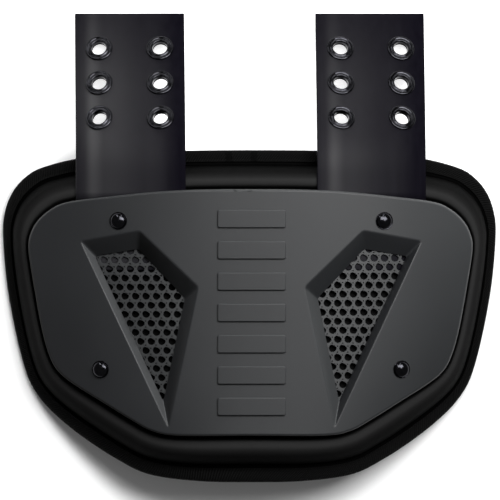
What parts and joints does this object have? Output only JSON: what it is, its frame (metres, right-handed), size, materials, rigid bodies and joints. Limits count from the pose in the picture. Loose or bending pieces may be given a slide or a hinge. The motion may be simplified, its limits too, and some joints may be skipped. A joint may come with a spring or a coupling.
{
  "type": "football back plate",
  "caption": "Arched foam back pad with a bound edge, a vented hard shell, and straps with eyelets that hang it from shoulder pads.",
  "frame": {"origin": "under the middle of the object, on the surface that it lies on", "axes": "+Z out of the plate's front, +Y from the pad towards the straps' free ends, +X to the right seen from the front"},
  "size_m": [0.3056, 0.2902, 0.0696],
  "materials": {
    "foam": "matte moulded foam with a fine knit skin",
    "binding_tape": "ribbed woven tape",
    "shell_plastic": "satin moulded plastic",
    "sheet_plastic": "satin pierced plastic",
    "strap_plastic": "smooth semi-gloss moulded strap",
    "black_nickel": "black nickel plate"
  },
  "bodies": {
    "root": {"foam_pad": "foam", "edge_binding": "binding_tape", "shell": "shell_plastic", "vent_sheet_left": "sheet_plastic", "strap_left": "strap_plastic", "vent_sheet_right": "sheet_plastic", "strap_right": "strap_plastic", "eyelet_left_1_outer": "black_nickel", "eyelet_left_1_inner": "black_nickel", "eyelet_left_2_outer": "black_nickel", "eyelet_left_2_inner": "black_nickel", "eyelet_left_3_outer": "black_nickel", "eyelet_left_3_inner": "black_nickel", "eyelet_right_1_inner": "black_nickel", "eyelet_right_1_outer": "black_nickel", "eyelet_right_2_inner": "black_nickel", "eyelet_right_2_outer": "black_nickel", "eyelet_right_3_inner": "black_nickel", "eyelet_right_3_outer": "black_nickel", "rivet_upper_left": "black_nickel", "rivet_lower_left": "black_nickel", "rivet_upper_right": "black_nickel", "rivet_lower_right": "black_nickel"}
  },
  "joints": []
}
